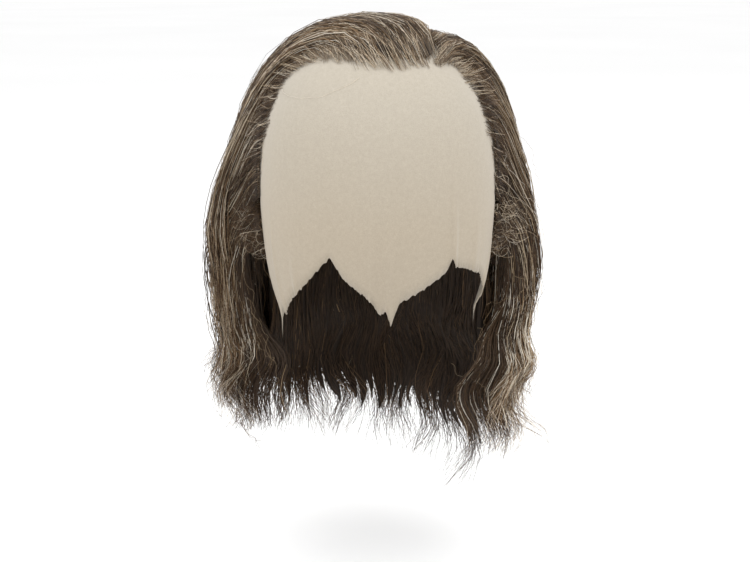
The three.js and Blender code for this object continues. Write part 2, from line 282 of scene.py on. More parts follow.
def hairMaterial(name):
    # colour by tone across the map and by place along the strand, with slow streaks of both, and roots
    # painted paler as painted light
    material, shader, node, link = nodeMaterial(name, Specular_IOR_Level=0.3)
    uv = node("ShaderNodeUVMap", uv_map="OFBake").outputs["UV"]
    across, along = node("ShaderNodeSeparateXYZ", uv).outputs[:2]
    stretch = node("ShaderNodeMapping", uv, Scale=greying["streaks"])
    streak = node("ShaderNodeTexNoise", stretch.outputs["Vector"], Scale=1.0, Detail=2.0).outputs["Fac"]
    tone = ramp(node, across, greying["tones"])
    tinted = node("ShaderNodeMix", data_type="RGBA")
    tinted.inputs["B"].default_value = greying["paleColour"]
    link(ramp(node, along, greying["paleRoot"]), tinted.inputs["Factor"])
    link(product(node, link, tone, ramp(node, along, greying["rootToTip"])), tinted.inputs["A"])
    low, high = greying["streakLevel"]
    level = node("ShaderNodeMapRange", streak, To_Min=low, To_Max=high)
    streaked = node("ShaderNodeVectorMath", tinted.outputs["Result"], operation="SCALE")
    link(level.outputs["Result"], streaked.inputs["Scale"])
    link(streaked.outputs["Vector"], shader.inputs["Base Color"])
    low, high = greying["roughness"]
    gloss = node("ShaderNodeMapRange", streak, To_Min=low, To_Max=high)
    link(gloss.outputs["Result"], shader.inputs["Roughness"])
    return material


def massMaterial(name, dark, light, count):
    # streaks that run along the hair: noise stretched along the map, as colour and as bump
    material, shader, node, link = nodeMaterial(name, Roughness=0.62, Specular_IOR_Level=0.25)
    uv = node("ShaderNodeUVMap", uv_map="OFBake").outputs["UV"]
    stretch = node("ShaderNodeMapping", uv, Scale=(count, 5, 1)).outputs["Vector"]
    streak = node("ShaderNodeTexNoise", stretch, Scale=1.0, Detail=5.0, Roughness=0.7).outputs["Fac"]
    link(ramp(node, streak, [(0.3, dark), (0.55, light), (0.75, dark)]), shader.inputs["Base Color"])
    bump = node("ShaderNodeBump", Strength=0.8, Distance=0.001)
    link(streak, bump.inputs["Height"])
    link(bump.outputs["Normal"], shader.inputs["Normal"])
    return material


hairLook = hairMaterial("greying hair")
massLook = massMaterial("hair in shade", (0.005, 0.0033, 0.002), (0.03, 0.019, 0.011), 420)
deepLook = massMaterial("hair in deep shade", (0.004, 0.0026, 0.0017), (0.026, 0.016, 0.0095), 300)
tuftLook = massMaterial("curly hair in shade", (0.007, 0.0046, 0.003), (0.055, 0.036, 0.022), 60)
print("looks", hairLook.name, massLook.name, deepLook.name, tuftLook.name)

# Lace front

lace = {
    "wall": 0.6,
    "lift": 0.5,
    "seamPolar": 18,
    "seamDrop": 60,
    "seamSharpness": 6,
    "side": 88,
    "columns": 301,
    "rows": 24,
    "ragged": ((0.9, 1.9, 3), (0.6, 5.3, 8)),  # height, rate and seed of the fraying
    "ripple": 1.1,
    "ripples": 9,
    "flare": 3,
    "flareRun": 20,
    "edgePower": 8,
    "hang": -84,
    "straight": 0.95,
    # azimuth and height of each corner of the cut edge
    "cut": np.array([
        (-88, -99), (-84, -107), (-76, -109), (-70, -103), (-66, -92), (-61, -87), (-55, -86), (-39, -67),
        (-31, -57), (-19, -38), (-14, -51), (-3, -66), (1, -77), (3.5, -72), (6, -84), (9, -67), (19.5, -59),
        (28, -49), (30, -39), (33, -46), (52, -55), (66, -68), (77, -96), (83, -99), (88, -88),
    ]),
    # azimuth, width in degrees, lift in mm and reach up from the edge of each fold
    "folds": np.array([
        (-37, 2.2, 2.6, 0.16), (-52, 2.0, 1.8, 0.4), (-3, 1.4, 1.3, 0.5), (4, 1.6, 1.5, 0.45),
        (31, 1.6, 2.8, 0.35), (45, 2.6, 1.2, 0.3), (-70, 2.5, 1.6, 0.35), (68, 2.4, 1.8, 0.3),
    ]),
}


def laceSeam(azimuth):  # polar angle of the seam, which drops by a high power of the way to the side
    return lace["seamPolar"] + lace["seamDrop"] * np.abs(azimuth / lace["side"]) ** lace["seamSharpness"]


def laceSurface(lift):
    # direction at the azimuth and at a share of the way from seam to cut edge, lifted by ripple, flare and
    # folds; low down the tails hang straighter than the hollow curves in
    azimuth = np.linspace(-lace["side"], lace["side"], lace["columns"])[:, None]
    t = np.linspace(0, 1, lace["rows"])[None]
    ragged = sum(up * waver(azimuth * rate, seed) for up, rate, seed in lace["ragged"])
    height = np.interp(azimuth, *lace["cut"].T) + ragged
    polar = mix(laceSeam(azimuth), polarAtHeight(azimuth, height), t)
    ripple = lace["ripple"] * np.sin(np.radians(lace["ripples"] * azimuth)) ** 2
    flare = lace["flare"] * ease(np.abs(azimuth), lace["side"] - lace["flareRun"], lace["side"])
    rise = (ripple + flare) * t ** lace["edgePower"]
    for place, width, up, reach in lace["folds"]:
        rise = rise + up * np.exp(-(((azimuth - place) / width) ** 2)) * ease(t, 1 - reach, 1)
    p = onHollow(direction(polar, azimuth + 0 * t), lift + rise)
    lowPolar = polarAtHeight(azimuth, lace["hang"])
    level = hollowRadius(direction(lowPolar, azimuth)) * np.sin(np.radians(lowPolar))
    out = np.linalg.norm(p[..., :2], axis=-1)
    keep = np.where(p[..., 2] < lace["hang"], mix(1, np.maximum(level / out, 1), lace["straight"]), 1)
    return p * np.stack([keep, keep, 0 * keep + 1], -1)


def laceMaterial():
    # fine net: the edges of small cells lighter and raised, over beiges that drift and are painted paler
    # upwards as painted light from above
    material, shader, node, link = nodeMaterial("beige lace", Sheen_Weight=0.15, Specular_IOR_Level=0.15)
    place = node("ShaderNodeTexCoord").outputs["Object"]
    cells = node("ShaderNodeTexVoronoi", place, feature="DISTANCE_TO_EDGE", Scale=900.0).outputs["Distance"]
    drift = node("ShaderNodeTexNoise", place, Scale=22.0, Detail=4.0).outputs["Fac"]
    grain = node("ShaderNodeTexNoise", place, Scale=420.0, Detail=2.0).outputs["Fac"]
    height = node("ShaderNodeSeparateXYZ", place).outputs["Z"]
    # painted light: the beige grows paler from low on the lace to its top, as if lit from above
    upper = node("ShaderNodeMapRange", height, From_Min=-0.19, From_Max=-0.03)
    uneven = node("ShaderNodeMath", drift, operation="MULTIPLY_ADD")
    uneven.inputs[1].default_value = 0.12
    link(upper.outputs["Result"], uneven.inputs[2])
    beiges = [(0.0, (0.335, 0.287, 0.224)), (0.5, (0.37, 0.32, 0.253)), (1.0, (0.4, 0.362, 0.304))]
    beige = ramp(node, uneven.outputs["Value"], beiges)
    net = ramp(node, cells, [(0.02, (1.04, 1.035, 1.02)), (0.16, (0.96, 0.955, 0.945))])
    fleck = ramp(node, grain, [(0.3, (0.965, 0.965, 0.96)), (0.7, (1.03, 1.03, 1.03))])
    link(product(node, link, product(node, link, beige, net), fleck), shader.inputs["Base Color"])
    rough = node("ShaderNodeMapRange", grain, To_Min=0.78, To_Max=0.92)
    link(rough.outputs["Result"], shader.inputs["Roughness"])
    bump = node("ShaderNodeBump", Strength=0.35, Distance=0.0003, invert=True)
    link(cells, bump.inputs["Height"])
    link(bump.outputs["Normal"], shader.inputs["Normal"])
    return material


def gridArea(p):  # square metres: the lengths of the cross products of the grid's steps, summed
    cells = np.cross(np.diff(p[:, :-1], axis=0), np.diff(p[:-1], axis=1))
    return round(np.linalg.norm(cells, axis=-1).sum() * 1e-6, 4)


laceTop, laceUnder = laceSurface(lace["lift"] + lace["wall"]), laceSurface(lace["lift"])
lacePiece = addPiece("lace_net", *wall(laceTop, laceUnder), laceMaterial(), "lace", "lace_front")
print("lace", len(lacePiece.data.polygons), "faces, area", gridArea(laceTop), "square metres")

# Cap under the hair

capShape = {
    "wall": 1.6,
    "columns": 72,
    "rows": 22,
    "seamGap": 0.2,
    # azimuth and polar angle of the free edge from the side to the nape
    "edge": np.array([(100, 82), (115, 85), (130, 98), (150, 112), (180, 116)]),
}


def capEdge(azimuth):  # the lace seam in front, then the table's free edge round the back
    side = np.abs((azimuth + 180) % 360 - 180)
    seam = laceSeam(np.minimum(side, lace["side"])) - capShape["seamGap"]
    corner = lace["side"], laceSeam(lace["side"]) - capShape["seamGap"]
    return np.where(side <= lace["side"], seam, np.interp(side, *np.vstack([corner, capShape["edge"]]).T))


def capSurface(lift):  # from the crown down to the edge at each azimuth
    azimuth = np.linspace(0, 360, capShape["columns"], endpoint=False)[:, None]
    polar = capEdge(azimuth) * np.linspace(0, 1, capShape["rows"])[None]
    return onHollow(direction(polar, azimuth), lift)


def capMaterial():
    # dark net with rows of sewn hair: bands by height, threads along them
    material, shader, node, link = nodeMaterial("brown cap net", Sheen_Weight=0.1, Specular_IOR_Level=0.2)
    place = node("ShaderNodeTexCoord").outputs["Object"]
    bands = node("ShaderNodeTexWave", place, bands_direction="Z", Scale=38.0, Distortion=1.2, Detail=2.0)
    threads = node("ShaderNodeTexVoronoi", place, feature="DISTANCE_TO_EDGE", Scale=500.0)
    browns = [(0.35, (0.02, 0.014, 0.01)), (0.6, (0.05, 0.035, 0.025)), (0.9, (0.11, 0.08, 0.055))]
    link(ramp(node, bands.outputs["Fac"], browns), shader.inputs["Base Color"])
    rough = node("ShaderNodeMapRange", threads.outputs["Distance"], To_Min=0.7, To_Max=0.95)
    link(rough.outputs["Result"], shader.inputs["Roughness"])
    bump = node("ShaderNodeBump", Strength=0.6, Distance=0.001)
    link(bands.outputs["Fac"], bump.inputs["Height"])
    link(bump.outputs["Normal"], shader.inputs["Normal"])
    return material


capTop = capSurface(capShape["wall"])
capPiece = addPiece("cap_net", *wall(capTop, capSurface(0), True), capMaterial(), "cap_net", "cap")
capArea = gridArea(np.concatenate([capTop, capTop[:1]]))
print("cap", len(capPiece.data.polygons), "faces, area", capArea, "square metres")

# Hair: fields that say where the hair of a section runs

outerHair = {
    # share of the way to the shoulder, and the lift there
    "overCap": [(0, 1.9), (0.1, 2.2), (0.25, 2.6), (0.45, 3.9), (0.7, 6.6), (0.95, 12.9)],
    "spread": (1.02, 0.97),
    "sway": (1.5, -2.5, 3),
    "below": 32,
    "halfWidth": 91,
    "back": 116,
    "waves": 5,
    # height, and the depth of the hair there
    "depth": np.array([
        (-240, 18), (-150, 23.5), (-100, 29), (-65, 31), (-30, 28.5),
        (-10, 24), (15, 18), (45, 13), (70, 10), (95, 8.6),
    ]),
    "frontRun": 0.09,
    "frontDepth": 0.4,
    "swing": 5.5,
    "swingFrom": (85, 140),
    "swingLength": 53,
}
sweepHair = {
    **outerHair,
    "depth": np.array([(-240, 18), (-110, 25), (-60, 29), (-39, 28), (-9, 19), (20, 9), (47, 6), (88, 5)]),
}
# runs in mm to the full depth, onto the path, off the roots and into the tips,
# then the lift at the roots in mm and the share of the depth that is left at the tips
hairRuns = {"root": 13, "back": 30, "sprout": 14, "tip": 60, "rootLift": 2.4, "tipShare": 0.2}
crownward = unit(np.array([0, 0.3, 1]))
guideColumns = "azimuth polar shoulder fall hem flare rootDepth body bend rise band sprout".split()


def evenRuns(path, rows):
    # the same lines with even steps of length, read off all of them in one row of numbers, set well apart
    run = np.cumsum(np.linalg.norm(np.diff(path, axis=1, prepend=path[:, :1]), axis=-1), 1)
    apart = 2 * run.max() * np.arange(len(path))[:, None]
    wanted = run[:, -1:] * np.linspace(0, 1, rows)
    known, asked = (run + apart).ravel(), (wanted + apart).ravel()
    read = [np.interp(asked, known, path[..., k].ravel()) for k in range(3)]
    return np.stack(read, -1).reshape(len(path), rows, 3), wanted


def hairField(shape, guides, locks, crests, columns=161, rows=121):
    # The path goes over the cap on the arc from root to shoulder, bent up towards the crown, hangs down the
    # curtain and ends at the hem. Each value comes from the guides, which stand at even steps of w.
    # Low down it swings by the cosine of the height below the crest, which neighbouring locks share.
    w = np.linspace(0, 1, columns)
    steps = np.linspace(0, 1, len(guides))
    value = {name: np.interp(w, steps, guides[:, k]) for k, name in enumerate(guideColumns)}
    roots = unit(spline(direction(guides[:, 1], guides[:, 0])[None], w[None])[0])
    aims = direction(value["shoulder"], value["fall"])
    angle = np.arccos(np.clip((roots * aims).sum(-1), -1, 1))[:, None]

    def over(along, lift):  # on the arc from root to aim, drawn towards the crown by a sine, at the lift
        arc = (np.sin((1 - along) * angle) * roots + np.sin(along * angle) * aims) / np.sin(angle)
        up = value["bend"][:, None] * np.sin(np.pi * along**0.7) * crownward
        return onHollow(unit(arc + up), lift)

    def hang(height, spread, sway):  # on a spread oval at the fall and its sway, at the height
        a = np.radians(value["fall"] + sway * np.cos(shape["waves"] * np.pi * w))
        reach = np.sin(a) * shape["halfWidth"] * spread, -np.cos(a) * shape["back"] * spread
        return np.stack([*reach, height], -1)

    knots = [over(*row) for row in shape["overCap"]]
    upper = knots[-1][:, 2] - shape["below"]
    heights = upper, mix(upper, value["hem"], 0.45), value["hem"]
    knots += [hang(*row) for row in zip(heights, (*shape["spread"], value["flare"]), shape["sway"])]
    t = np.broadcast_to(np.linspace(0, 1, 2 * rows), (columns, 2 * rows))
    inner, run = evenRuns(clearOfHollow(spline(np.stack(knots, 1), t), 1.0), rows)
    outward = outFrom(inner)
    side = unit(np.cross(unit(np.gradient(inner, axis=1)), outward))
    crest = np.interp(w, np.linspace(0, 1, len(crests)), crests)[:, None]
    turn = 2 * np.pi * (inner[..., 2] - crest) / shape["swingLength"]
    swing = shape["swing"] * ease(-inner[..., 2], *shape["swingFrom"])
    swing = swing * (0.8 + 0.35 * waver(w * 21, 3))[:, None]
    inner = inner + outward * (swing * np.cos(turn))[..., None]
    inner = inner + side * (swing * np.sin(turn + 9 * w[:, None]))[..., None]
    edge = mix(shape["frontDepth"], 1, np.sin(np.pi / 2 * np.minimum(w / shape["frontRun"], 1)))
    full = np.interp(inner[..., 2], *shape["depth"].T) * (value["body"] * edge)[:, None]
    risen = mix(full, value["rootDepth"][:, None], np.exp(-run / hairRuns["root"]))
    depth = risen * mix(hairRuns["tipShare"], 1, ease(run[:, -1:] - run, 0, hairRuns["tip"]))
    values = np.concatenate([inner, outward, side, depth[..., None], run[..., None]], -1)
    back = unit(np.cross(np.gradient(roots, axis=0), roots))
    back = back * np.sign((back * (inner[:, 4] - inner[:, 0])).sum())
    return {"values": values, "locks": locks, "length": run[:, -1], "back": back, **value}


def alongRoots(field, name, w):  # a value of the field's root line, read between its columns
    return np.interp(w, np.linspace(0, 1, len(field[name])), field[name])


def rootBack(field, w):  # unit vector away from the root line and square to it
    steps = np.linspace(0, 1, len(field["back"]))
    return unit(np.stack([np.interp(w, steps, field["back"][:, k]) for k in range(3)], -1))


def rootStarts(roots, rng):  # start in the map: among the pale roots along the front, past them elsewhere
    d = unit(roots)
    front = ease(d[:, 2], 0.66, 0.76) * ease(-d[:, 1], 0.25, 0.4)
    return np.where(rng.random(len(d)) < front, greying["paleStart"], greying["plainStart"])


def readField(field, w, t):  # straight-line reading between the four grid points round each (w, t)
    grid = field["values"]
    x = np.clip(w, 0, 1) * (grid.shape[0] - 1)
    y = np.clip(t, 0, 1) * (grid.shape[1] - 1)
    i, j = np.minimum(x.astype(int), grid.shape[0] - 2), np.minimum(y.astype(int), grid.shape[1] - 2)
    a, b = (x - i)[..., None], (y - j)[..., None]
    low = mix(grid[i, j], grid[i + 1, j], a)
    high = mix(grid[i, j + 1], grid[i + 1, j + 1], a)
    found = mix(low, high, b)
    return found[..., 0:3], found[..., 3:6], found[..., 6:9], found[..., 9], found[..., 10]


def lockSwell(field, w):  # sine across each lock, 0 in the grooves and 1 on the ridges
    return np.sin(np.pi * ((w * field["locks"]) % 1))


def hairMass(name, field, body, look, slot, node, reverse=False):
    # the body of the section below its loose strands: its inner face, and an outer one at a share of the
    # depth, down to a share of the length less a tooth at each edge of a lock
    columns, rows = body["grid"]
    w = np.linspace(0, 1, columns)[:, None]
    length, band = alongRoots(field, "length", w), alongRoots(field, "band", w)
    begin = band * (0.38 + 0.14 * waver(w * 260, 2)) / length
    lock = w * field["locks"]
    end = body["upTo"] + 0.02 * waver(w * 330, 5) - body["tooth"] * np.abs(2 * (lock % 1) - 1)
    end = end + body["tooth"] * waver(2.3 * np.floor(lock), 5)
    t = mix(begin, end, np.linspace(0, 1, rows)[None])
    inner, outward, _, depth, run = readField(field, w + 0 * t, t)
    groove = 0.34 * (1 - lockSwell(field, w)) * (0.1 + t)
    risen = 1 - np.exp(-(run - run[:, :1]) / (1.25 * np.maximum(alongRoots(field, "rise", w), 15)))
    thin = risen * mix(1, 0.15, ease(t, end - 0.22, end))
    strands = 0.5 * waver(w * 700, 4) * ease(t, begin, begin + 0.1)
    foot = inner + outward * (hairRuns["rootLift"] * risen + 0.3)[..., None]
    away = band * (0.22 + 0.08 * waver(w * 210, 6)) * np.exp(-run / hairRuns["back"])
    foot = clearOfHollow(foot + rootBack(field, w[:, 0])[:, None] * away[..., None], 2.0)
    outer = foot + outward * (0.3 + depth * body["depth"] * (1 - groove) * thin + strands * thin)[..., None]
    if reverse:
        outer, foot = outer[::-1], foot[::-1]
    piece = addPiece(name, *wall(outer, foot), look, slot, node)
    print(name, len(piece.data.polygons), "faces")


sizeLimit = {"share": 0.03, "beyond": 10, "before": 14, "soft": 12}


def tuckIn(p):  # within the solids' box and a margin: past the knee a point goes on by the tanh of the rest
    side = (np.array(cadBox[1]) - cadBox[0]) * 1000
    middle = (np.array(cadBox[1]) + cadBox[0]) * 500 + [0, 0, hollow["top"]]
    away = p - middle
    knee = side / 2 + sizeLimit["share"] * side + sizeLimit["beyond"] - sizeLimit["before"]
    beyond = np.maximum(np.abs(away) - knee, 0)
    soft = sizeLimit["soft"]
    return middle + np.sign(away) * (np.minimum(np.abs(away), knee) + soft * np.tanh(beyond / soft))


def combStrands(field, style, seed):
    # Strands along the field: each leaves the roots square to their line, rises to its own depth, gathers
    # with its clump and waves. A clump has a depth, a length, a phase and a turn of the tips of its own.
    rng = np.random.default_rng(seed)
    count, rings, clumps = style["count"], style["rings"], style["clumps"]
    edgeCount = int(count * style["frontShare"])
    w = rng.permutation((np.arange(count) + rng.random(count)) / count)
    w[:edgeCount] = style["frontWidth"] * rng.random(edgeCount) ** 1.4
    centre = (np.arange(clumps) + 0.5 + 0.6 * (rng.random(clumps) - 0.5)) / clumps
    clump = np.minimum((w * clumps).astype(int), clumps - 1)
    top = (1.02 - style["uneven"] * rng.random(clumps) ** 1.5)[clump]
    near = rng.random(count) < style["outerShare"]
    level = top * np.where(near, 1 - 0.3 * rng.random(count) ** 1.3, rng.random(count))
    level[:edgeCount] = -0.05 + 1.05 * rng.random(edgeCount)
    if style["lining"]:  # these hang along the inner face
        level = -0.02 - 0.1 * rng.random(count)
    length, band = alongRoots(field, "length", w), alongRoots(field, "band", w)
    begin = style["rootBand"] * band * rng.random(count) ** style["rootPower"] / length
    begin = np.maximum(begin, style["from"] * (0.4 + 1.1 * rng.random(count)))

    short = style["clumpRagged"] * rng.random(clumps)[clump]
    end = style["upTo"] * (1 - short - style["ragged"] * rng.random(count) ** 2)
    phase, bend = rng.random((2, clumps)) * 2 * np.pi
    wave = rng.uniform(*style["waveLength"], clumps)[clump][:, None]

    s = np.linspace(0, 1, rings) ** style["spacing"]
    t = mix(begin[:, None], end[:, None], s[None])
    early = style["gather"] * ease((t - t[:, :1]) * length[:, None], 0, style["gatherRun"])
    pull = (0.4 + 0.6 * rng.random(count))[:, None] * mix(early, style["pull"], ease(s, 0.3, 1)[None])
    stray = rng.random(count) < style["strayShare"]
    drift = rng.normal(0, 1, count) * np.where(stray, style["strayDrift"], style["drift"])
    path = mix(w[:, None], centre[clump][:, None], pull) + drift[:, None] * (s**1.3)[None]
    path = np.abs(path)
    path = np.where(path > 1, 2 - path, path)
    inner, outward, side, depth, run = readField(field, path, t)
    since = run - run[:, :1]
    groove = style["groove"] * (1 - lockSwell(field, path)) * (0.1 + t)
    speed = np.where(begin * length > band, style["lateRise"], alongRoots(field, "rise", w))
    speed = speed * (0.7 + 0.6 * rng.random(count))
    rise = 1 - (1 - style["start"]) * np.exp(-since / speed[:, None])
    rise = rise * (1 - style["dive"] * ease(s, 0.75, 1))[None]
    lift = rise * (hairRuns["rootLift"] + level[:, None] * depth * (1 - groove))
    inward = style["inward"] * rng.random(count) * (1 - ease(w, 0.06, 0.18))
    lift = lift - inward[:, None] * ease(-inner[..., 2], 80, 160)
    loft = np.where(stray, style["strayLift"] * rng.random(count) ** 2, 0)[:, None]
    lift = lift + loft * ease(s, 0.05, 0.5)[None]
    strong = style["wave"] * (0.5 + rng.random(count))[:, None]
    strong = strong * ease(run, style["waveFrom"], style["waveFrom"] + style["waveRun"])
    turn = 2 * np.pi * run / wave
    own = rng.normal(0, 0.45, (2, count))
    sideways = strong * np.sin(turn + (phase[clump] + own[0])[:, None])
    outwards = 0.7 * strong * np.sin(turn * 0.83 + (bend[clump] + own[1])[:, None])
    frizz = style["frizz"] * rng.random(count)[:, None]
    frizz = frizz * ease(run, style["waveFrom"], style["waveFrom"] + style["frizzRun"])
    sideways = sideways + frizz * np.sin(turn * 2.3 + (rng.random(count) * 6.3)[:, None])
    slow = 2 * np.pi * since / rng.uniform(*style["wanderLength"], count)[:, None]
    slow = slow + (rng.random(count) * 6.3)[:, None]
    wander = style["wander"] * rng.random(count)[:, None] * ease(since, 4, 60)
    sideways = sideways + wander * np.sin(slow)
    outwards = outwards + 0.35 * wander * np.sin(slow * 1.37 + 1)
    flick = 1.4 * np.stack([waver(centre * 33, seed), waver(centre * 41, seed + 2)])[:, clump]
    flick = flick + rng.normal(0, 0.22, (2, count))
    tip = ease(s, style["tipFrom"], 1)
    curl = style["tipCurl"] * (flick[0] + style["tipAim"])[:, None] * tip[None] ** 2
    sideways = sideways + style["tipCurl"] * flick[1][:, None] * ease(s, 0.68, 1)[None] ** 2
    deepest = -np.maximum(lift, 0) - 1.5 - 0.7 * style["tipCurl"] * tip
    outwards = np.maximum(outwards + curl, deepest)
    ahead = 0.16 * rng.random(clumps)[clump]
    away = (band * (0.36 * rng.random(count) ** 0.8 - ahead))[:, None] * np.exp(-run / hairRuns["back"])
    leave = since / hairRuns["sprout"]
    sprout = style["sprout"] * alongRoots(field, "sprout", w) * (0.6 + 0.8 * rng.random(count))
    away = away + sprout[:, None] * leave * np.exp(1 - leave)
    start = rootBack(field, w)[:, None] * away[..., None]
    centres = tuckIn(inner + start + outward * (lift + outwards)[..., None] + side * sideways[..., None])

    white = rng.random(count) < style["white"]
    thick = style["radius"] * np.where(white, style["whiteRadius"], 1) * (0.75 + 0.5 * rng.random(count))
    radii = thick[:, None] * mix(0.5, 1, ease(since, 0, 22)) * mix(1, 0.3, ease(s, 0.65, 1))[None]
    # painted shade and light: strands that lie deeper are painted darker, down to half, and so are those
    # rooted near the front edge of a section; the outermost may be painted lighter than the plain tone
    shade = mix(0.5, style["outerLightTone"], np.clip(level, 0, 1)) * mix(style["frontShadeTone"], 1, ease(w, 0, 0.35))
    tones = np.where(white, 0.76 + 0.22 * rng.random(count) ** 1.3, 0.68 * rng.beta(1.4, 1.6, count) * shade)
    return centres, radii, tones * style["tone"], rootStarts(inner[:, 0], rng)


def addStrands(name, strands, slot="hair"):  # one piece of closed tubes in the greying look
    piece = addPiece(name, *tubes(*strands), hairLook, slot)
    triangles = len(piece.data.loops) - 2 * len(piece.data.polygons)
    print(name, len(strands[0]), "strands,", triangles, "triangles")


def addLayers(section, layers, slot="hair"):  # a piece for each layer's field, style and seed
    for label, (field, style, seed) in layers.items():
        addStrands(f"{section}_{label}", combStrands(field, style, seed), slot)


# Styles of the strands, which the sections share: runs, lengths and lifts in mm, the rest as shares

longStyle = {
    "count": 1750,
    "rings": 13,
    "frontShare": 0.15,
    "frontWidth": 0.13,
    "outerShare": 0.72,
    "rootBand": 1,
    "rootPower": 0.75,
    "from": 0,
    "start": 0,
    "dive": 0.3,
    "lateRise": 34,
    "wander": 2.6,
    "wanderLength": (70, 170),
    "sprout": 1,
    "uneven": 0.46,
    "gather": 0.6,
    "gatherRun": 26,
    "tipAim": 0.15,
    "frontShadeTone": 0.72,
    "outerLightTone": 1,
    "tone": 1,
    "clumps": 84,
    "clumpRagged": 0.06,
    "ragged": 0.1,
    "upTo": 0.66,
    "waveLength": (52, 90),
    "spacing": 1.25,
    "pull": 0.5,
    "drift": 0.018,
    "strayShare": 0.09,
    "strayDrift": 0.07,
    "strayLift": 4,
    "groove": 0.34,
    "wave": 3.2,
    "waveFrom": 90,
    "waveRun": 170,
    "frizz": 1.0,
    "frizzRun": 120,
    "tipCurl": 6,
    "tipFrom": 0.72,
    "radius": 0.24,
    "white": 0.17,
    "whiteRadius": 0.78,
    "lining": False,
    "inward": 0,
}
hemStyle = {
    **longStyle, "count": 1300, "rings": 16, "frontShare": 0.12, "from": 0.36, "upTo": 1, "start": 0.2,
    "dive": 0, "clumps": 54, "clumpRagged": 0.15, "ragged": 0.16, "spacing": 1, "wave": 3.6, "waveFrom": 60,
    "frizz": 1.4, "tipCurl": 13, "white": 0.2, "waveLength": (50, 76), "pull": 0.92, "strayShare": 0.12,
    "strayDrift": 0.1, "sprout": 0, "gather": 0.3, "tipAim": 0.12, "frontShadeTone": 0.9, "tone": 1.15,
}
wispStyle = {
    **hemStyle, "count": 220, "rings": 14, "frontShare": 0.2, "outerShare": 1, "from": 0.4, "wave": 7,
    "frizz": 3, "waveLength": (45, 75), "pull": 0.3, "strayShare": 0.6, "strayLift": 8, "radius": 0.13,
    "white": 0.5, "tipCurl": 16,
}
# painted shade: the lining strands are painted darker, for the shade inside the hollow
liningStyle = {
    **longStyle, "count": 240, "rings": 12, "frontShare": 0.5, "outerShare": 0, "from": 0.52, "upTo": 1,
    "dive": 0, "spacing": 1, "white": 0.02, "radius": 0.28, "strayShare": 0, "lining": True, "tone": 0.75,
    "inward": 30, "waveLength": (100, 160), "frizz": 0, "sprout": 0,
}
fineStyle = {
    **longStyle, "count": 450, "rings": 9, "outerShare": 1, "upTo": 0.45, "radius": 0.15, "white": 0.5,
    "wander": 3.6, "drift": 0.02, "strayShare": 0.12, "strayLift": 3, "frontShare": 0.04, "uneven": 0.15,
    "frontShadeTone": 1,
}
sweepStyle = {
    **longStyle, "count": 700, "rings": 16, "frontShare": 0, "outerShare": 1, "upTo": 0.85, "dive": 0,
    "clumps": 26, "drift": 0.03, "strayShare": 0.05, "groove": 0.1, "clumpRagged": 0.2, "ragged": 0.3,
    "pull": 0.6, "white": 0.3, "uneven": 0.5, "frontShadeTone": 1,
}

# Hair to the left of the part: the guides' columns are those of guideColumns

hairLeft = {
    "body": {"grid": (121, 33), "depth": 0.56, "upTo": 0.86, "tooth": 0.06},
    "locks": 15,
    "sweepLocks": 5,
    "crests": (-155, -158, -146, -166, -141, -170, -152, -162),
    "guides": np.array([
        (-67, 95, 118, -93, -192, 1.11, 2, 1.12, 0.03, 60, 12, 4.5),
        (-62, 67, 108, -97, -197, 1.12, 2.5, 1.18, 0.07, 70, 16, 6),
        (-64, 51, 98, -103, -202, 1.11, 2.5, 1.16, 0.1, 60, 18, 6.5),
        (-50, 37, 90, -113, -206, 1.09, 2.5, 1.04, 0.14, 36, 22, 8),
        (0, 40.5, 87, -128, -217, 1.07, 3, 1.0, 0.28, 20, 26, 9.5),
        (34.5, 38.5, 85, -147, -228, 1.06, 4, 1, 0.3, 14, 13, 1.5),
        (82, 20.8, 84, -163, -231, 1.06, 7, 0.96, 0.06, 6, 10, 0),
        (150, 22.5, 84, -179.6, -234, 1.06, 5, 0.9, 0, 6, 10, 0),
    ]),
    "sweep": np.array([
        (-56, 41, 94, -90, -188, 1.08, 2.5, 1, 0.14, 24, 14, 6),
        (-40, 38, 91, -95, -194, 1.08, 2.5, 1, 0.22, 22, 22, 8),
        (-15, 40, 89, -101, -200, 1.08, 3, 1, 0.32, 20, 26, 9.5),
        (15, 41, 87, -110, -206, 1.07, 3, 1, 0.36, 18, 26, 9.5),
    ]),
}
fieldLeft = hairField(outerHair, hairLeft["guides"], hairLeft["locks"], hairLeft["crests"])
sweepLeft = hairField(sweepHair, hairLeft["sweep"], hairLeft["sweepLocks"], hairLeft["crests"][:2])
hairMass("hair_left_mass", fieldLeft, hairLeft["body"], massLook, "hair", "hair_left", True)
addLayers("hair_left", {
    "strands": (fieldLeft, longStyle, 11),
    "sweep": (sweepLeft, {**sweepStyle, "white": 0.36}, 19),
    "ends": (fieldLeft, {**hemStyle, "tipAim": 0.4}, 13),
    "wisps": (fieldLeft, wispStyle, 14),
    "fine": (fieldLeft, fineStyle, 15),
    "lining": (fieldLeft, {**liningStyle, "count": 280}, 17),
})

# Hair to the right of the part

